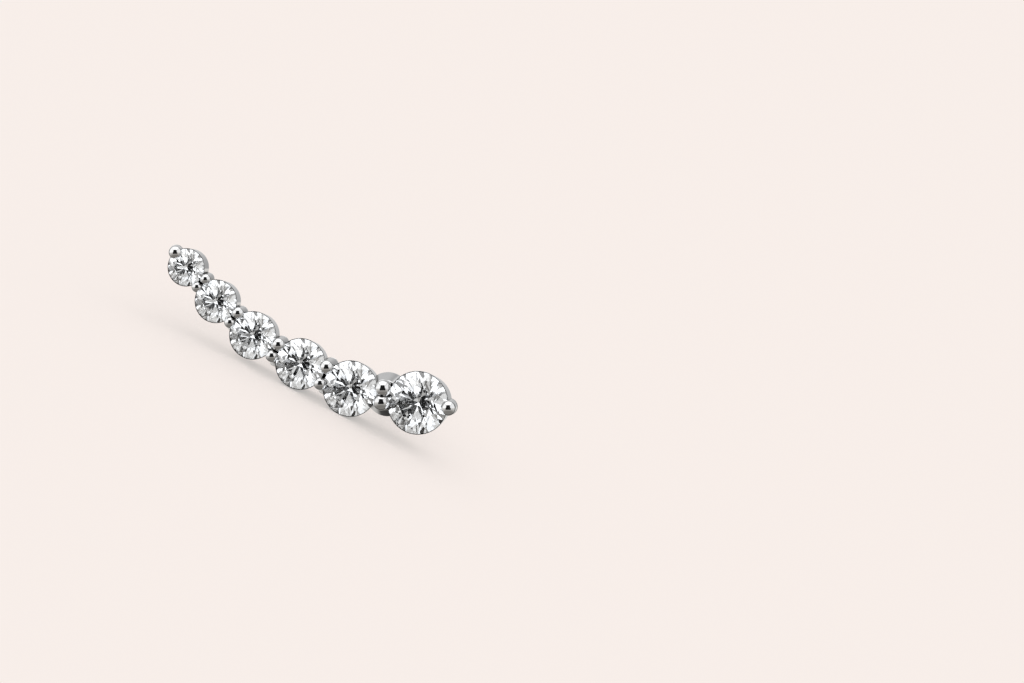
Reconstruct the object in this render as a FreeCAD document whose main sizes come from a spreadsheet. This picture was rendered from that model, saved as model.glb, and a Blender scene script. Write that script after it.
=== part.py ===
import FreeCAD, Part
import os
import Sketcher
from math import cos, pi, radians, sin, tan

# Ear climber: six round brilliants that shrink along a rising curve, in tapered cups
# with shared ball-headed prongs, and an ear post behind the two largest stones.
# Jewel frame, in millimetres: X to the right and Y up in the face of the jewel, Z out
# of the face, with the origin at the girdle centre of the largest stone.
# resting_place() then stands the whole jewel on the surface that carries it, +Z up.

os.makedirs("parts", exist_ok=True)
doc = FreeCAD.newDocument("ear_climber")

SIZES = {
    # Cut of the stones: shares of the girdle's diameter or radius, and degrees
    "table_share": 0.57,
    "crown_angle": 34.5,
    "pavilion_angle": 40.9,
    "girdle_share": 0.03,
    "star_share": 0.5,
    "lower_half_share": 0.77,
    "blank_share": 1.022,
    # Cups
    "rim_width": 0.045,
    "seat_gap": 0.02,
    "culet_room": 0.12,
    "hole_share": 0.62,
    "foot_inset": 0.05,
    "foot_inset_growth": 0.165,
    # Bridges between the cups
    "bridge_radius": 0.28,
    "bridge_depth": 0.72,
    # Prongs: shares of the radius of the ball head
    "head_lift_share": 0.6,
    "neck_share": 0.86,
    "foot_share": 1.1,
    "foot_cap_share": 1.13,
    # Round pad that carries the post, from its front to its back
    "pad_right": -2.275,
    "pad_up": 0.47,
    "pad_front": -0.25,
    "pad_front_radius": 0.97,
    "pad_waist": -1.35,
    "pad_waist_radius": 1.43,
    "pad_band": -1.6,
    "pad_shoulder": -1.88,
    "pad_shoulder_radius": 1.2,
    "pad_back": -2.05,
    "pad_back_radius": 0.75,
    # Ear post
    "post_radius": 0.43,
    "post_tip": -13.0,
    "post_bevel": 0.2,
    # Rest on the surface, in degrees
    "rest_roll": 27.15,
    "rest_lean": 8.92,
}

# One row for each stone, from the small end of the climber to the large one
STONE_COLUMNS = ("across", "right", "up", "turn")
STONES = {
    "stone_1": (2.40, -15.35, 8.68, 0.0),
    "stone_2": (2.75, -13.36, 6.48, 0.0),
    "stone_3": (3.05, -10.90, 4.28, 0.0),
    "stone_4": (3.25, -7.73, 2.45, 0.0),
    "stone_5": (3.55, -4.44, 0.88, 1.5),
    "stone_6": (4.00, 0.00, 0.00, 5.0),
}

# One row for each prong: its ball head's place in the face and radius, how far the
# foot lies from under the head, and how deep the foot is
PRONG_COLUMNS = ("right", "up", "radius", "foot_right", "foot_up", "depth")
PRONGS = {
    "prong_small_end": (-16.00, 9.64, 0.43, -0.28, 0.04, 0.90),
    "prong_1_2_upper": (-14.00, 7.91, 0.35, -0.14, 0.05, 0.95),
    "prong_1_2_lower": (-14.57, 7.41, 0.35, -0.10, -0.15, 0.95),
    "prong_2_3_upper": (-11.83, 5.72, 0.395, -0.11, 0.02, 1.05),
    "prong_2_3_lower": (-12.36, 5.12, 0.375, -0.10, -0.20, 1.05),
    "prong_3_4_upper": (-9.13, 3.69, 0.435, -0.13, 0.06, 1.15),
    "prong_3_4_lower": (-9.57, 2.97, 0.405, -0.08, -0.29, 1.15),
    "prong_4_5_upper": (-5.94, 2.25, 0.46, -0.07, 0.08, 1.25),
    "prong_4_5_lower": (-6.37, 1.21, 0.42, -0.06, -0.28, 1.25),
    "prong_5_6_upper": (-2.22, 0.91, 0.545, 0.0, 0.05, 1.20),
    "prong_5_6_lower": (-2.33, 0.03, 0.525, 0.0, -0.05, 1.20),
    "prong_large_end": (2.05, -0.31, 0.49, -0.26, 0.02, 1.30),
}

sheet = doc.addObject("Spreadsheet::Sheet", "sizes")


def fill_sheet():
    """Writes every driving size to the sheet, each under a name of its own."""
    cells = dict(SIZES)
    for rows, columns in ((STONES, STONE_COLUMNS), (PRONGS, PRONG_COLUMNS)):
        for name, values in rows.items():
            for column, value in zip(columns, values):
                cells[f"{name}_{column}"] = value
    for row, (alias, value) in enumerate(cells.items(), start=1):
        sheet.set(f"A{row}", alias)
        sheet.set(f"B{row}", str(value))
        sheet.setAlias(f"B{row}", alias)
    doc.recompute()


def size(alias):
    return float(sheet.get(alias))


def at(right, up, out):
    return FreeCAD.Placement(FreeCAD.Vector(right, up, out), FreeCAD.Rotation())


def stone_place(name):
    """Girdle centre of a stone, with its face turned about the jewel's upright."""
    centre = FreeCAD.Vector(size(f"{name}_right"), size(f"{name}_up"), 0)
    turned = FreeCAD.Rotation(FreeCAD.Vector(0, 1, 0), -size(f"{name}_turn"))
    return FreeCAD.Placement(centre, turned)


def resting_place():
    """Rolls the jewel in its face, then stands it up and leans it back."""
    roll = FreeCAD.Rotation(FreeCAD.Vector(0, 0, 1), size("rest_roll"))
    stand = FreeCAD.Rotation(FreeCAD.Vector(1, 0, 0), 90 - size("rest_lean"))
    return FreeCAD.Placement(FreeCAD.Vector(0, 0, 0), stand * roll)


def set_down(nodes):
    """Moves the whole jewel so that its box stands on the origin, at its centre."""
    whole = Part.makeCompound([node.Shape for node in nodes])
    box = whole.optimalBoundingBox(False, False)
    centre = box.Center
    shift = FreeCAD.Placement(
        FreeCAD.Vector(-centre.x, -centre.y, -box.ZMin), FreeCAD.Rotation()
    )
    for node in nodes:
        node.Placement = shift * node.Placement
    place = shift * resting_place()
    print("jewel frame's origin", [round(value, 4) for value in place.Base])


def bound(kind, name, place, **formulas):
    """A primitive whose sizes are formulas of the sheet's cells."""
    thing = doc.addObject(kind, name)
    thing.Label = name
    for prop, formula in formulas.items():
        thing.setExpression(prop, formula)
    thing.Placement = place
    return thing


def turned_body(name, corners, place):
    """A body of revolution about its own Z axis.

    corners holds a formula for the radius and one for the height of each corner. The
    first and the last corner lie on the axis, where the radius has no formula.
    """
    body = doc.addObject("PartDesign::Body", name)
    body.Label = name
    plane = next(f for f in body.Origin.OriginFeatures if f.Role == "XZ_Plane")
    sketch = body.newObject("Sketcher::SketchObject", f"{name}_profile")
    sketch.AttachmentSupport = (plane, [""])
    sketch.MapMode = "FlatFace"
    # A rough outline, which the formulas below then pull into place
    last = len(corners) - 1
    rough = [FreeCAD.Vector(0 if k in (0, last) else 1, k, 0) for k in range(last + 1)]
    for k in range(last + 1):
        sketch.addGeometry(Part.LineSegment(rough[k - 1], rough[k]))
    for k in range(last + 1):
        following = (k + 1) % (last + 1)
        sketch.addConstraint(Sketcher.Constraint("Coincident", k, 2, following, 1))
    for k, (radius, height) in enumerate(corners):
        if radius is None:
            sketch.addConstraint(Sketcher.Constraint("PointOnObject", k, 2, -2))
        else:
            index = sketch.addConstraint(
                Sketcher.Constraint("DistanceX", -1, 1, k, 2, rough[k].x)
            )
            sketch.setExpression(f"Constraints[{index}]", radius)
        index = sketch.addConstraint(
            Sketcher.Constraint("DistanceY", -1, 1, k, 2, float(k))
        )
        sketch.setExpression(f"Constraints[{index}]", height)
    turn = body.newObject("PartDesign::Revolution", f"{name}_turning")
    turn.Profile = sketch
    turn.ReferenceAxis = (sketch, ["V_Axis"])
    turn.Angle = 360
    body.Tip = turn
    body.Placement = place
    return body


# Stones

EIGHTH = pi / 4
SIXTEENTH = pi / 8


def ring(radius, height, start):
    """Eight corners at one radius and height, the first at the angle start."""
    angles = [start + EIGHTH * k for k in range(8)]
    return [FreeCAD.Vector(radius * cos(a), radius * sin(a), height) for a in angles]


def facet(*corners):
    return Part.Face(Part.makePolygon([*corners, corners[0]]))


def cut_side(side, radius, inner_radius, tip_radius, angle):
    """Facets on one side of the girdle, side being 1 for the crown and -1 below.

    Eight main facets rise at the given angle from the girdle's edge. Sixteen halves
    lie between the mains' tips and the girdle, and run past it to the blank's edge.
    Returns the facets, the inner corners and the blank's sixteen edge corners.
    """
    edge = size("girdle_share") * radius
    rise = tan(radians(angle))
    inner_height = edge + rise * (radius - inner_radius)
    tip_height = edge + rise * (radius - tip_radius * cos(SIXTEENTH))
    blank_radius = size("blank_share") * radius
    overhang = (blank_radius - radius) / (radius - tip_radius)
    blank_height = edge - (tip_height - edge) * overhang

    inner = ring(inner_radius, side * inner_height, 0)
    tips = ring(tip_radius, side * tip_height, SIXTEENTH)
    girdle = ring(radius, side * edge, 0)
    under_mains = ring(blank_radius, side * blank_height, 0)
    under_tips = ring(blank_radius, side * blank_height, SIXTEENTH)
    facets = []
    for k in range(8):
        before = k - 1
        facets.append(facet(inner[k], tips[before], girdle[k], tips[k]))
        facets.append(facet(girdle[k], tips[k], under_tips[k], under_mains[k]))
        facets.append(facet(girdle[k], under_mains[k], under_tips[before], tips[before]))
        if inner_radius > 0:
            facets.append(facet(inner[k], tips[k], inner[(k + 1) % 8]))
    blank_edge = [corner for pair in zip(under_mains, under_tips) for corner in pair]
    return facets, inner, blank_edge


def brilliant_facets(across):
    """A round brilliant's facets on a blank a little wider than its girdle."""
    radius = across / 2
    table_radius = size("table_share") * radius
    table_flat = table_radius * cos(SIXTEENTH)
    star_tip = table_flat + size("star_share") * (radius - table_flat)
    lower_tip = (1 - size("lower_half_share")) * radius
    crown, table, upper_edge = cut_side(
        1, radius, table_radius, star_tip, size("crown_angle")
    )
    pavilion, _, lower_edge = cut_side(-1, radius, 0, lower_tip, size("pavilion_angle"))
    wall = [
        facet(upper_edge[k - 1], upper_edge[k], lower_edge[k], lower_edge[k - 1])
        for k in range(16)
    ]
    solid = Part.makeSolid(Part.makeShell([facet(*table), *crown, *wall, *pavilion]))
    if solid.Volume < 0:
        solid.reverse()
    return solid


def make_stone(name):
    """A cut stone: the facets within a cylinder that rounds the girdle."""
    facets = doc.addObject("Part::Feature", f"{name}_facets")
    facets.Shape = brilliant_facets(size(f"{name}_across"))
    across = f"sizes.{name}_across"
    girdle = bound(
        "Part::Cylinder",
        f"{name}_girdle",
        at(0, 0, -size(f"{name}_across")),
        Radius=f"{across} / 2",
        Height=f"{across} * 2",
    )
    stone = doc.addObject("Part::Common", name)
    stone.Label = name
    stone.Base = facets
    stone.Tool = girdle
    stone.Placement = resting_place() * stone_place(name)
    return stone


# Setting


def cup_formulas(name):
    """Formulas that a stone's cup and its hollow share."""
    radius = f"(sizes.{name}_across / 2)"
    edge = f"(sizes.girdle_share * {radius})"
    pavilion = f"({radius} * tan(sizes.pavilion_angle))"
    foot = f"(-{edge} - {pavilion} - sizes.culet_room)"
    return radius, edge, foot


def make_cup(name):
    """A cup's outer form: a band round the girdle, then narrowing to its foot."""
    radius, edge, foot = cup_formulas(name)
    growth = f"sizes.foot_inset_growth * (sizes.{name}_across - sizes.stone_1_across)"
    rim = f"({radius} + sizes.rim_width)"
    narrow = f"({rim} - sizes.foot_inset - {growth})"
    corners = [(None, edge), (rim, edge), (rim, f"-{edge}"), (narrow, foot), (None, foot)]
    return turned_body(f"{name}_cup", corners, stone_place(name))


def make_hollow(name):
    """What a stone takes out of the metal with a gap, and the open hole behind it."""
    radius, edge, foot = cup_formulas(name)
    table = f"(sizes.table_share * {radius})"
    table_flat = f"({table} * cos(22.5))"
    star = f"({table_flat} + sizes.star_share * ({radius} - {table_flat}))"
    star_top = f"({edge} + tan(sizes.crown_angle) * ({radius} - {star} * cos(22.5)))"
    table_top = f"({edge} + tan(sizes.crown_angle) * ({radius} - {table}))"
    hole = f"(sizes.hole_share * {radius})"
    gap = "sizes.seat_gap"
    seat = f"(-{edge} - {gap} - ({radius} + {gap} - {hole}) * tan(sizes.pavilion_angle))"
    corners = [
        (None, f"{foot} - {radius}"),
        (hole, f"{foot} - {radius}"),
        (hole, seat),
        (f"{radius} + {gap}", f"-{edge} - {gap}"),
        (f"{radius} + {gap}", f"{edge} + {gap}"),
        (f"{star} + {gap}", f"{star_top} + {gap}"),
        (f"{table} + {gap}", f"{table_top} + {gap}"),
        (None, f"{table_top} + {gap}"),
    ]
    return turned_body(f"{name}_hollow", corners, stone_place(name))


def strut_place(low, high):
    """Puts a primitive's base at low, with its axis towards high."""
    turned = FreeCAD.Rotation(FreeCAD.Vector(0, 0, 1), high - low)
    return FreeCAD.Placement(low, turned)


def make_prong(name):
    """A ball head on a stem that widens to a rounded foot beside the cups."""
    row = f"sizes.{name}"
    lift = size("head_lift_share") * size(f"{name}_radius")
    head = FreeCAD.Vector(size(f"{name}_right"), size(f"{name}_up"), lift)
    foot = FreeCAD.Vector(
        head.x + size(f"{name}_foot_right"),
        head.y + size(f"{name}_foot_up"),
        -size(f"{name}_depth"),
    )
    drop = f"({row}_depth + sizes.head_lift_share * {row}_radius)"
    lean = f"({row}_foot_right ^ 2 + {row}_foot_up ^ 2)"
    return [
        bound("Part::Sphere", f"{name}_head", at(*head), Radius=f"{row}_radius"),
        bound(
            "Part::Cone",
            f"{name}_stem",
            strut_place(foot, head),
            Radius1=f"{row}_radius * sizes.foot_share",
            Radius2=f"{row}_radius * sizes.neck_share",
            Height=f"sqrt({lean} + {drop} ^ 2)",
        ),
        bound(
            "Part::Sphere",
            f"{name}_foot",
            at(*foot),
            Radius=f"{row}_radius * sizes.foot_cap_share",
        ),
    ]


def make_bridge(name, following):
    """A bar between the middles of two cups, whose hollows cut its ends away."""
    below = FreeCAD.Vector(0, 0, -size("bridge_depth"))
    start = stone_place(name).Base + below
    end = stone_place(following).Base + below
    across = f"(sizes.{following}_right - sizes.{name}_right)"
    along = f"(sizes.{following}_up - sizes.{name}_up)"
    return bound(
        "Part::Cylinder",
        f"{name}_bridge",
        strut_place(start, end),
        Radius="sizes.bridge_radius",
        Height=f"sqrt({across} ^ 2 + {along} ^ 2)",
    )


def make_pad_and_post():
    """The round pad under the last pair of prongs, and the ear post on its back."""
    corners = [
        (None, "sizes.pad_front"),
        ("sizes.pad_front_radius", "sizes.pad_front"),
        ("sizes.pad_waist_radius", "sizes.pad_waist"),
        ("sizes.pad_waist_radius", "sizes.pad_band"),
        ("sizes.pad_shoulder_radius", "sizes.pad_shoulder"),
        ("sizes.pad_back_radius", "sizes.pad_back"),
        ("sizes.post_radius", "sizes.pad_back"),
        ("sizes.post_radius", "sizes.post_tip + sizes.post_bevel"),
        ("sizes.post_radius - sizes.post_bevel", "sizes.post_tip"),
        (None, "sizes.post_tip"),
    ]
    place = at(size("pad_right"), size("pad_up"), 0)
    return turned_body("pad_and_post", corners, place)


def fused(name, shapes):
    whole = doc.addObject("Part::MultiFuse", name)
    whole.Shapes = shapes
    return whole


def make_setting():
    """All the soldered metal as one solid."""
    names = list(STONES)
    metal = [make_cup(name) for name in names]
    for name, following in zip(names, names[1:]):
        metal.append(make_bridge(name, following))
    for name in PRONGS:
        metal.extend(make_prong(name))
    metal.append(make_pad_and_post())
    setting = doc.addObject("Part::Cut", "setting")
    setting.Label = "setting"
    setting.Base = fused("metal", metal)
    setting.Tool = fused("hollows", [make_hollow(name) for name in names])
    setting.Placement = resting_place()
    return setting


# Document

fill_sheet()
nodes = [make_setting()]
nodes.extend(make_stone(name) for name in STONES)
doc.recompute()
set_down(nodes)
doc.recompute()

for thing in doc.Objects:
    if "Invalid" in thing.State or "Error" in thing.State:
        raise RuntimeError(f"{thing.Name} is {thing.State}")
for node in nodes:
    shape = node.Shape
    if shape.isNull() or not shape.isValid() or len(shape.Solids) != 1:
        raise RuntimeError(f"{node.Label} is not one valid solid")
    print(node.Label, round(shape.Volume, 3), "mm3", len(shape.Faces), "faces")
for node in nodes:
    node.Shape.exportStep(f"parts/{node.Label}.step")
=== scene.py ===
from math import cos, pi, radians, sin, tan

import bmesh
import bpy
import numpy as np
from mathutils import Matrix, Vector


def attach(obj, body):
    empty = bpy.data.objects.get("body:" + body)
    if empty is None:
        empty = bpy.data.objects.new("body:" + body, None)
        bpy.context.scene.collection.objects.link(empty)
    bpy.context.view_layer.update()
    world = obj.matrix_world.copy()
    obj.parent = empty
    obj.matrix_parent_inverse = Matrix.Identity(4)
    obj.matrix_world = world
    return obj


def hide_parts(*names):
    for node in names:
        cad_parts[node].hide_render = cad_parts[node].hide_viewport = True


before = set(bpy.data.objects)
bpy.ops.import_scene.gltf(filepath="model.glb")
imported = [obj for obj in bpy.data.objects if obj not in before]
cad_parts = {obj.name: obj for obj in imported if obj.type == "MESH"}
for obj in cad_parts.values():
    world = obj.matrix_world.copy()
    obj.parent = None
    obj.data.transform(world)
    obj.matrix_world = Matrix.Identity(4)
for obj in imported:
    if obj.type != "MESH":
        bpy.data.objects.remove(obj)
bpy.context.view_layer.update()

MM = 0.001

# The jewel frame: X to the right and Y up in the face of the climber, Z out of it, with
# the origin at the girdle centre of the largest stone. This places it in the row frame.
JEWEL_ORIGIN = Vector((8.4668, -5.8927, 3.0373)) * MM
REST_ROLL = radians(27.15)
REST_LEAN = radians(8.92)
JEWEL = (
    Matrix.Translation(JEWEL_ORIGIN)
    @ Matrix.Rotation(radians(90) - REST_LEAN, 4, "X")
    @ Matrix.Rotation(REST_ROLL, 4, "Z")
)

# Camera: a long lens, a little to the right of the stones' normal and above it, placed
# so that the largest stone's centre falls on its pixel in the photograph
FRAME_WIDTH = 1024
FRAME_HEIGHT = 683
LENS = 100.0
SENSOR = 36.0
FOCAL_PIXELS = LENS / SENSOR * FRAME_WIDTH
CAMERA_YAW = radians(10.0)
CAMERA_PITCH = radians(1.5)
LARGE_STONE_PIXEL = (417.7, 402.8)
LARGE_STONE_RADIUS = 2.0 * MM
LARGE_STONE_RADIUS_PIXELS = 31.2


def camera_axes():
    """Right, up and backward directions of the camera, in the row frame."""
    backward = Vector(
        (
            sin(CAMERA_YAW) * cos(CAMERA_PITCH),
            sin(CAMERA_PITCH),
            cos(CAMERA_YAW) * cos(CAMERA_PITCH),
        )
    )
    right = Vector((0, 1, 0)).cross(backward).normalized()
    up = backward.cross(right)
    turn = JEWEL.to_3x3()
    return turn @ right, turn @ up, turn @ backward


def make_camera():
    right, up, backward = camera_axes()
    across = (LARGE_STONE_PIXEL[0] - FRAME_WIDTH / 2) / FOCAL_PIXELS
    above = (FRAME_HEIGHT / 2 - LARGE_STONE_PIXEL[1]) / FOCAL_PIXELS
    depth = FOCAL_PIXELS * LARGE_STONE_RADIUS / LARGE_STONE_RADIUS_PIXELS
    place = JEWEL_ORIGIN + (backward - right * across - up * above) * depth
    data = bpy.data.cameras.new("camera")
    data.lens = LENS
    data.sensor_width = SENSOR
    data.clip_start = 1 * MM
    data.clip_end = 20.0
    camera = bpy.data.objects.new("camera", data)
    bpy.context.scene.collection.objects.link(camera)
    turn = Matrix((right, up, backward)).transposed().to_4x4()
    camera.matrix_world = Matrix.Translation(place) @ turn
    bpy.context.scene.camera = camera


# Node helpers


def node(tree, kind, values=(), **settings):
    """A node with its settings, and its inputs set or linked by name or index."""
    made = tree.nodes.new(kind)
    for key, value in settings.items():
        setattr(made, key, value)
    for key, value in dict(values).items():
        if isinstance(value, bpy.types.NodeSocket):
            tree.links.new(value, made.inputs[key])
        else:
            made.inputs[key].default_value = value
    return made


def maths(tree, operation, first, second=0.0, clamp=False):
    made = node(tree, "ShaderNodeMath", {0: first, 1: second}, operation=operation)
    made.use_clamp = clamp
    return made.outputs[0]


def ramp(tree, value, start, end, low=0.0, high=1.0):
    """value moved smoothly from low at start to high at end."""
    made = node(
        tree,
        "ShaderNodeMapRange",
        {"Value": value, "From Min": start, "From Max": end, "To Min": low, "To Max": high},
        interpolation_type="SMOOTHSTEP",
    )
    return made.outputs["Result"]


def blend(tree, share, first, second):
    made = node(tree, "ShaderNodeMix", {0: share, 2: first, 3: second})
    return made.outputs[0]


def blend_colour(tree, share, first, second):
    made = node(tree, "ShaderNodeMix", {0: share, 6: first, 7: second}, data_type="RGBA")
    return made.outputs[2]


def material(name):
    made = bpy.data.materials.new(name)
    made.use_nodes = True
    tree = made.node_tree
    return made, tree, tree.nodes["Principled BSDF"]


# Fine metal, in the jewel frame and in millimetres

STONES = (
    # across, right, up, turn in degrees
    (2.40, -15.35, 8.68, 0.0),
    (2.75, -13.36, 6.48, 0.0),
    (3.05, -10.90, 4.28, 0.0),
    (3.25, -7.73, 2.45, 0.0),
    (3.55, -4.44, 0.88, 1.5),
    (4.00, 0.00, 0.00, 5.0),
)
PRONGS = (
    # right, up, radius of the ball head, foot right, foot up, depth
    (-16.00, 9.64, 0.43, -0.28, 0.04, 0.90),
    (-14.00, 7.91, 0.35, -0.14, 0.05, 0.95),
    (-14.57, 7.41, 0.35, -0.10, -0.15, 0.95),
    (-11.83, 5.72, 0.395, -0.11, 0.02, 1.05),
    (-12.36, 5.12, 0.375, -0.10, -0.20, 1.05),
    (-9.13, 3.69, 0.435, -0.13, 0.06, 1.15),
    (-9.57, 2.97, 0.405, -0.08, -0.29, 1.15),
    (-5.94, 2.25, 0.46, -0.07, 0.08, 1.25),
    (-6.37, 1.21, 0.42, -0.06, -0.28, 1.25),
    (-2.22, 0.91, 0.545, 0.0, 0.05, 1.20),
    (-2.33, 0.03, 0.525, 0.0, -0.05, 1.20),
    (2.05, -0.31, 0.49, -0.26, 0.02, 1.30),
)
PAD = (-2.275, 0.47, 0.0)
# Radius, height and fillet of each corner of the post and the pad, from the post's tip
PAD_CORNERS = (
    (0.0, -13.00, 0.0),
    (0.23, -13.00, 0.08),
    (0.43, -12.80, 0.08),
    (0.43, -2.05, 0.05),
    (0.75, -2.05, 0.06),
    (1.20, -1.88, 0.08),
    (1.43, -1.60, 0.10),
    (1.43, -1.35, 0.12),
    (0.97, -0.25, 0.10),
    (0.0, -0.25, 0.0),
)
# Slopes of the cut, and shares of a stone's radius
PAVILION = tan(radians(40.9))
CROWN = tan(radians(34.5))
HALF_FACET = radians(22.5)
GIRDLE_SHARE = 0.03
TABLE_SHARE = 0.57
STAR_SHARE = 0.5
HOLE_SHARE = 0.62
SEAT_GAP = 0.02
CULET_ROOM = 0.12
RIM_WIDTH = 0.045
FOOT_INSET = 0.05
FOOT_INSET_GROWTH = 0.165
BRIDGE_RADIUS = 0.28
BRIDGE_DEPTH = 0.72
# Shares of a prong's ball head
HEAD_LIFT_SHARE = 0.6
NECK_SHARE = 0.86
FOOT_SHARE = 1.1
FOOT_CAP_SHARE = 1.13
# Segments round each kind of turned form
CUP_SEGMENTS = 144
PRONG_SEGMENTS = 72
BRIDGE_SEGMENTS = 64
PAD_SEGMENTS = 128


def filleted(corners, steps=5):
    """Outline of a turned form: radius, height and outward normal of each point.

    corners run round the form with the metal on their left side. Each inner corner is
    rounded by an arc of its fillet radius, or stays sharp where that is zero.
    """
    points = [Vector((radius, height)) for radius, height, _ in corners]
    outline = []

    def outward(start, end):
        along = (end - start).normalized()
        return Vector((along.y, -along.x))

    outline.append((points[0], outward(points[0], points[1])))
    for k in range(1, len(points) - 1):
        before = outward(points[k - 1], points[k])
        after = outward(points[k], points[k + 1])
        fillet = corners[k][2]
        if fillet == 0:
            outline.append((points[k], before))
            outline.append((points[k], after))
            continue
        half = before.angle(after) / 2
        reach = fillet * tan(half)
        back = (points[k - 1] - points[k]).normalized() * reach
        side = 1 if before.cross(after) > 0 else -1
        centre = points[k] + back - before * fillet * side
        for step in range(steps + 1):
            normal = before.slerp(after, step / steps)
            outline.append((centre + normal * fillet * side, normal))
    outline.append((points[-1], outward(points[-2], points[-1])))
    return outline


def ball_outline(radius, height, start, end, steps):
    """Arc of a ball's outline between two angles above its equator."""
    arc = []
    for step in range(steps + 1):
        angle = start + (end - start) * step / steps
        normal = Vector((cos(angle), sin(angle)))
        arc.append((normal * radius + Vector((0, height)), normal))
    return arc


def aimed(low, high):
    """Frame with its origin at low and its Z axis towards high."""
    turn = (high - low).to_track_quat("Z", "Y").to_matrix().to_4x4()
    return Matrix.Translation(low) @ turn


def stone_frame(right, up, turn):
    return Matrix.Translation((right, up, 0)) @ Matrix.Rotation(-radians(turn), 4, "Y")


def cup_heights(radius):
    """Half the girdle's height, and the height of the cup's foot."""
    edge = GIRDLE_SHARE * radius
    return edge, -edge - radius * PAVILION - CULET_ROOM


def cup(across, right, up, turn):
    """A cup's outer form: a band round the girdle, then narrowing to its foot."""
    radius = across / 2
    edge, foot = cup_heights(radius)
    rim = radius + RIM_WIDTH
    narrow = rim - FOOT_INSET - FOOT_INSET_GROWTH * (across - STONES[0][0])
    corners = (
        (0.0, foot, 0.0),
        (narrow, foot, 0.05),
        (rim, -edge, 0.01),
        (rim, edge, 0.006),
        (0.0, edge, 0.0),
    )
    return filleted(corners), stone_frame(right, up, turn), CUP_SEGMENTS


def hollow(across, right, up, turn):
    """What a stone takes out of the metal with a gap, and the open hole behind it."""
    radius = across / 2
    edge, foot = cup_heights(radius)
    table = TABLE_SHARE * radius
    table_flat = table * cos(HALF_FACET)
    star = table_flat + STAR_SHARE * (radius - table_flat)
    star_top = edge + CROWN * (radius - star * cos(HALF_FACET))
    table_top = edge + CROWN * (radius - table)
    hole = HOLE_SHARE * radius
    seat = -edge - SEAT_GAP - (radius + SEAT_GAP - hole) * PAVILION
    corners = (
        (0.0, foot - radius, 0.0),
        (hole, foot - radius, 0.0),
        (hole, seat, 0.0),
        (radius + SEAT_GAP, -edge - SEAT_GAP, 0.0),
        (radius + SEAT_GAP, edge + SEAT_GAP, 0.0),
        (star + SEAT_GAP, star_top + SEAT_GAP, 0.0),
        (table + SEAT_GAP, table_top + SEAT_GAP, 0.0),
        (0.0, table_top + SEAT_GAP, 0.0),
    )
    return filleted(corners), stone_frame(right, up, turn), CUP_SEGMENTS


def prong(right, up, radius, foot_right, foot_up, depth):
    """A ball head on a stem that widens to a rounded foot."""
    head = Vector((right, up, HEAD_LIFT_SHARE * radius))
    foot = Vector((right + foot_right, up + foot_up, -depth))
    height = (head - foot).length
    quarter = radians(90)
    outline = ball_outline(FOOT_CAP_SHARE * radius, 0, -quarter, 0, 12)
    neck = NECK_SHARE * radius
    spread = FOOT_SHARE * radius
    slope = Vector((height, spread - neck)).normalized()
    outline += [(Vector((spread, 0.02 * radius)), slope), (Vector((neck, height)), slope)]
    outline += ball_outline(radius, height, radians(-20), quarter, 28)
    return outline, aimed(foot, head), PRONG_SEGMENTS


def bridge(start, end):
    """A bar between the middles of two cups."""
    below = Vector((0, 0, -BRIDGE_DEPTH))
    low = Vector((start[1], start[2], 0)) + below
    high = Vector((end[1], end[2], 0)) + below
    length = (high - low).length
    corners = (
        (0.0, 0.0, 0.0),
        (BRIDGE_RADIUS, 0.0, 0.0),
        (BRIDGE_RADIUS, length, 0.0),
        (0.0, length, 0.0),
    )
    return filleted(corners), aimed(low, high), BRIDGE_SEGMENTS


def turned_mesh(outline, place, segments):
    """The closed mesh of a turned form, with one vertex where it meets its axis."""
    made = bmesh.new()
    rings = []
    turns = [2 * pi * k / segments for k in range(segments)]
    last = None
    for point, _ in outline:
        if last is not None and (point - last).length < 1e-6:
            continue
        last = point
        spots = [(point.x * cos(a), point.x * sin(a), point.y) for a in turns]
        if point.x < 1e-6:
            spots = spots[:1]
        rings.append([made.verts.new(place @ Vector(spot)) for spot in spots])
    for lower, upper in zip(rings, rings[1:]):
        for k in range(segments):
            following = (k + 1) % segments
            corners = [lower[k % len(lower)], lower[following % len(lower)]]
            corners += [upper[following % len(upper)], upper[k % len(upper)]]
            made.faces.new(list(dict.fromkeys(corners)))
    bmesh.ops.recalc_face_normals(made, faces=made.faces)
    mesh = bpy.data.meshes.new("turned")
    made.to_mesh(mesh)
    made.free()
    return mesh


def outline_normals(points, outline, place):
    """Normals of a turned form at points on it."""
    inverse = np.array(place.inverted())
    local = points @ inverse[:3, :3].T + inverse[:3, 3]
    reach = np.hypot(local[:, 0], local[:, 1])
    flat = np.stack([reach, local[:, 2]], axis=1)
    nearest = np.full(len(points), np.inf)
    normals = np.zeros((len(points), 2))
    for (start, first), (end, second) in zip(outline, outline[1:]):
        start, end = np.array(start), np.array(end)
        along = end - start
        length = along @ along
        if length < 1e-12:
            continue
        share = np.clip((flat - start) @ along / length, 0, 1)
        gap = np.linalg.norm(flat - start - share[:, None] * along, axis=1)
        mixed = np.outer(1 - share, first) + np.outer(share, second)
        closer = gap < nearest
        nearest[closer] = gap[closer]
        normals[closer] = mixed[closer]
    normals /= np.linalg.norm(normals, axis=1)[:, None]
    round_axis = local[:, :2] / np.maximum(reach, 1e-9)[:, None]
    turned = np.column_stack([round_axis * normals[:, :1], normals[:, 1]])
    return turned @ np.array(place)[:3, :3].T


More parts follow.
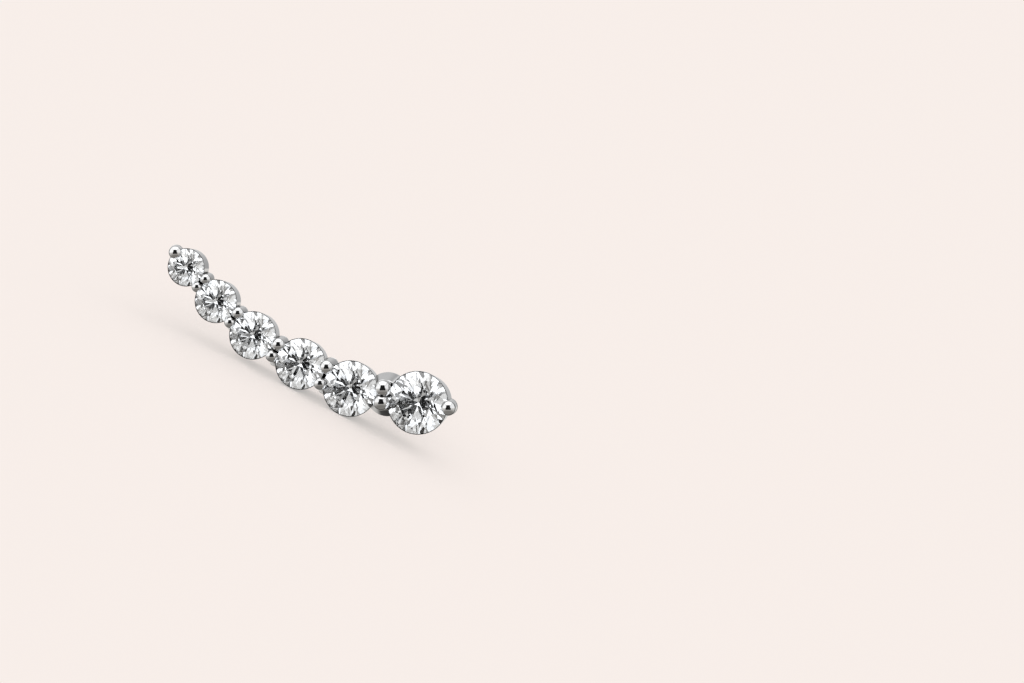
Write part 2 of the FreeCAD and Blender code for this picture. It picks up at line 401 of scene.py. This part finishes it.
def make_setting():
    """All the metal as one mesh, shaded by the exact normals of the turned forms."""
    metal = [cup(*row) for row in STONES]
    metal += [bridge(start, end) for start, end in zip(STONES, STONES[1:])]
    metal += [prong(*row) for row in PRONGS]
    metal.append((filleted(PAD_CORNERS), Matrix.Translation(PAD), PAD_SEGMENTS))
    hollows = [hollow(*row) for row in STONES]
    forms = metal + hollows
    groups = {name: bpy.data.collections.new(name) for name in ("metal", "hollows")}
    parts = []
    for number, form in enumerate(forms):
        mesh = turned_mesh(*form)
        for _ in forms:
            mesh.materials.append(None)
        mesh.polygons.foreach_set("material_index", [number] * len(mesh.polygons))
        part = bpy.data.objects.new("part", mesh)
        groups["metal" if number < len(metal) else "hollows"].objects.link(part)
        parts.append(part)
    base = parts[0]
    groups["metal"].objects.unlink(base)
    bpy.context.scene.collection.objects.link(base)
    for operation, group in (("UNION", "metal"), ("DIFFERENCE", "hollows")):
        cut = base.modifiers.new(group, "BOOLEAN")
        cut.operation = operation
        cut.solver = "MANIFOLD"
        cut.operand_type = "COLLECTION"
        cut.collection = groups[group]
    whole = base.evaluated_get(bpy.context.evaluated_depsgraph_get())
    mesh = bpy.data.meshes.new_from_object(whole)
    mesh.name = "setting_metal"
    for part in parts:
        bpy.data.objects.remove(part)
    for group in groups.values():
        bpy.data.collections.remove(group)

    count = len(mesh.vertices)
    points = np.empty(count * 3)
    mesh.vertices.foreach_get("co", points)
    points = points.reshape(count, 3)
    corner_vertex = np.empty(len(mesh.loops), int)
    mesh.loops.foreach_get("vertex_index", corner_vertex)
    sources = np.empty(len(mesh.polygons), int)
    mesh.polygons.foreach_get("material_index", sources)
    sizes = np.empty(len(mesh.polygons), int)
    mesh.polygons.foreach_get("loop_total", sizes)
    corner_source = np.repeat(sources, sizes)
    normals = np.zeros((len(mesh.loops), 3))
    for number, (outline, place, _) in enumerate(forms):
        chosen = corner_source == number
        side = 1 if number < len(metal) else -1
        found = outline_normals(points[corner_vertex[chosen]], outline, place)
        normals[chosen] = found * side
    mesh.materials.clear()
    mesh.polygons.foreach_set("material_index", [0] * len(mesh.polygons))
    mesh.shade_smooth()
    mesh.normals_split_custom_set(normals.tolist())
    mesh.transform(JEWEL @ Matrix.Scale(MM, 4))
    setting = bpy.data.objects.new("setting_fine", mesh)
    bpy.context.scene.collection.objects.link(setting)
    return setting


# Studio

ROOM = 1.0
PAPER = (0.571, 0.4925, 0.458, 1.0)
PAPER_GLOW = (0.366, 0.366, 0.3595, 1.0)
BACKGROUND = (0.939, 0.863, 0.823, 1.0)
STONE_LIGHT = 1.35
STONE_AZIMUTH = radians(-28)
STONE_ELEVATION = radians(1)
STONE_REACH = radians(23.5)


def make_floor():
    """A sheet of pale paper on a light table, which keeps the shadows soft.

    The metal and the stones mirror the even ground of the studio in its place.
    """
    half = 2.0
    corners = [(-half, -half, 0), (half, -half, 0), (half, half, 0), (-half, half, 0)]
    mesh = bpy.data.meshes.new("floor")
    mesh.from_pydata(corners, [], [(0, 1, 2, 3)])
    floor = bpy.data.objects.new("floor", mesh)
    bpy.context.scene.collection.objects.link(floor)
    made, tree, shader = material("pale_paper")
    shader.inputs["Base Color"].default_value = PAPER
    shader.inputs["Emission Color"].default_value = PAPER_GLOW
    shader.inputs["Emission Strength"].default_value = 1.0
    shader.inputs["Roughness"].default_value = 1.0
    shader.inputs["Specular IOR Level"].default_value = 0.0
    mesh.materials.append(made)
    floor.visible_glossy = False
    floor.visible_transmission = False


# What the metal and the stones mirror, by direction from the jewel: theta is the angle
# from the direction of the camera, elevation the height above the photograph's horizon
FLOOR_NEAR = (0.24, 0.228, 0.212, 1.0)
FLOOR_FAR = (0.74, 0.725, 0.70, 1.0)
WALL_LIGHT = 0.62
SIDE_WALL_LIGHT = 0.38
DARK = 0.012
BLACK = (DARK, DARK, DARK, 1.0)
SEAM_SLOPE = radians(52)
GAP_THETA = radians(134)
LEFT_LIGHT = 1.25
RIGHT_LIGHT = 1.05
TOP_LIGHT = 1.55


def make_world():
    """An even pale room for the floor, and a studio tent for what the jewel mirrors."""
    world = bpy.data.worlds.new("studio")
    bpy.context.scene.world = world
    world.use_nodes = True
    tree = world.node_tree
    tree.nodes.clear()
    right, up, backward = camera_axes()
    direction = node(tree, "ShaderNodeTexCoord").outputs["Generated"]

    def along(axis):
        made = node(
            tree, "ShaderNodeVectorMath", {0: direction, 1: axis}, operation="DOT_PRODUCT"
        )
        return made.outputs["Value"]

    side = along(right)
    height = along(up)
    front = along(backward)
    azimuth = maths(tree, "ABSOLUTE", maths(tree, "ARCTAN2", side, front))
    elevation = maths(tree, "ARCSINE", height)
    theta = maths(tree, "ARCCOSINE", front)

    # White side walls and a brighter ceiling, which meet in a thin dark seam
    light = ramp(tree, side, -0.2, 0.2, LEFT_LIGHT, RIGHT_LIGHT)
    slope = maths(tree, "ARCTAN2", height, maths(tree, "ABSOLUTE", side))
    ceiling = ramp(tree, slope, SEAM_SLOPE - radians(1), SEAM_SLOPE + radians(1))
    light = blend(tree, ceiling, light, TOP_LIGHT)
    off_seam = maths(tree, "ABSOLUTE", maths(tree, "SUBTRACT", slope, SEAM_SLOPE))
    light = blend(tree, ramp(tree, off_seam, radians(1), radians(3), 0.75, 0), light, DARK)
    # A pale backdrop behind the jewel, and a dark gap along its sides and its foot
    backdrop = ramp(tree, side, 0.0, 0.45, WALL_LIGHT, SIDE_WALL_LIGHT)
    light = blend(tree, ramp(tree, theta, radians(116), radians(122)), light, backdrop)
    gap = maths(tree, "ABSOLUTE", maths(tree, "SUBTRACT", theta, GAP_THETA))
    gap = ramp(tree, gap, radians(11), radians(17), 0.85, 0)
    low = ramp(tree, elevation, radians(15), radians(35), 1, 0)
    light = blend(tree, maths(tree, "MULTIPLY", gap, low), light, DARK)
    tent = node(tree, "ShaderNodeCombineXYZ", {0: light, 1: light, 2: light}).outputs[0]
    far = ramp(tree, elevation, radians(-50), radians(-1))
    ground = blend_colour(tree, far, FLOOR_NEAR, FLOOR_FAR)
    ground = blend_colour(tree, gap, ground, BLACK)
    tent = blend_colour(tree, ramp(tree, elevation, radians(-1), 0), ground, tent)
    # The dark opening round the camera, wide at its foot
    wide = ramp(tree, elevation, radians(-8), radians(14), radians(42), radians(33))
    inside = ramp(tree, maths(tree, "SUBTRACT", azimuth, wide), -0.02, 0.02, 1, 0)
    foot = ramp(tree, elevation, radians(-26), radians(-23))
    head = ramp(tree, elevation, radians(47), radians(50), 1, 0)
    opening = maths(tree, "MULTIPLY", inside, maths(tree, "MULTIPLY", foot, head))
    # Light that passed through a stone meets a dark disc instead of that opening
    gathered = (
        backward * cos(STONE_AZIMUTH) * cos(STONE_ELEVATION)
        + right * sin(STONE_AZIMUTH) * cos(STONE_ELEVATION)
        + up * sin(STONE_ELEVATION)
    )
    disc = ramp(tree, along(gathered), cos(STONE_REACH + 0.02), cos(STONE_REACH - 0.02))
    paths = node(tree, "ShaderNodeLightPath")
    through = paths.outputs["Is Transmission Ray"]
    opening = blend(tree, through, opening, disc)
    tent = blend_colour(tree, opening, tent, BLACK)

    mirrored = maths(tree, "MAXIMUM", paths.outputs["Is Glossy Ray"], through)
    strength = blend(tree, through, 1.0, STONE_LIGHT)
    lights = node(tree, "ShaderNodeBackground", {"Color": tent, "Strength": strength})
    room = node(tree, "ShaderNodeBackground", {"Color": (1, 1, 1, 1), "Strength": ROOM})
    seen = node(tree, "ShaderNodeBackground", {"Color": BACKGROUND, "Strength": 1.0})
    lit = node(
        tree, "ShaderNodeMixShader", {0: mirrored, 1: room.outputs[0], 2: lights.outputs[0]}
    )
    whole = node(
        tree,
        "ShaderNodeMixShader",
        {0: paths.outputs["Is Camera Ray"], 1: lit.outputs[0], 2: seen.outputs[0]},
    )
    out = node(tree, "ShaderNodeOutputWorld")
    tree.links.new(whole.outputs[0], out.inputs["Surface"])


# Materials


GOLD_TONES = ((0.755, 0.755, 0.76, 1), (0.80, 0.80, 0.80, 1))
STONE_TONES = ((0.92, 0.955, 1, 1), (0.97, 0.985, 1, 1))
DIAMOND_IOR = 2.417
# Painted shade: the metal's colour is darkened towards this tone in the creases between the
# forms, where shade falls
PAINTED_CREASE_SHADE = (0.10, 0.095, 0.09, 1.0)
PAINTED_SHADE_REACH = 0.3 * MM


def white_gold():
    """Mirror-polished rhodium white, with the faint swirl that a buffing wheel leaves, and
    painted shade that darkens its colour in the creases.
    """
    made, tree, shader = material("white_gold_polish")
    shader.inputs["Metallic"].default_value = 1.0
    place = node(tree, "ShaderNodeTexCoord").outputs["Object"]
    swirl = node(tree, "ShaderNodeTexNoise", {"Vector": place, "Scale": 900.0, "Detail": 3.0})
    colour = blend_colour(tree, swirl.outputs["Fac"], *GOLD_TONES)
    # painted shade: ambient occlusion darkens the base colour in the creases between the
    # forms
    near = node(tree, "ShaderNodeAmbientOcclusion", {"Distance": PAINTED_SHADE_REACH}, samples=8)
    unshaded_share = ramp(tree, near.outputs["AO"], 0.35, 0.88)
    shaded = blend_colour(tree, unshaded_share, PAINTED_CREASE_SHADE, colour)
    tree.links.new(shaded, shader.inputs["Base Color"])
    rough = ramp(tree, swirl.outputs["Fac"], 0.3, 0.7, 0.03, 0.07)
    tree.links.new(rough, shader.inputs["Roughness"])
    return made


def clear_stone():
    """A colourless stone whose polished facets bend light as a diamond's do."""
    made, tree, shader = material("clear_brilliant")
    shader.inputs["Transmission Weight"].default_value = 1.0
    shader.inputs["IOR"].default_value = DIAMOND_IOR
    shader.inputs["Roughness"].default_value = 0.0
    place = node(tree, "ShaderNodeTexCoord").outputs["Object"]
    haze = node(tree, "ShaderNodeTexNoise", {"Vector": place, "Scale": 700.0, "Detail": 2.0})
    colour = blend_colour(tree, haze.outputs["Fac"], *STONE_TONES)
    tree.links.new(colour, shader.inputs["Base Color"])
    return made


def dress(name, finish):
    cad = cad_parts[name]
    cad.data.materials.clear()
    cad.data.materials.append(finish)


# Scene

scene = bpy.context.scene
scene.view_settings.view_transform = "Standard"
scene.cycles.max_bounces = 32
scene.cycles.transmission_bounces = 32
scene.cycles.glossy_bounces = 12
scene.cycles.blur_glossy = 0.0
make_camera()
make_world()
make_floor()
gold = white_gold()
stone = clear_stone()
setting = make_setting()
setting.data.materials.append(gold)
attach(setting, "root")
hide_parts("setting")
for number in range(1, 7):
    dress(f"stone_{number}", stone)
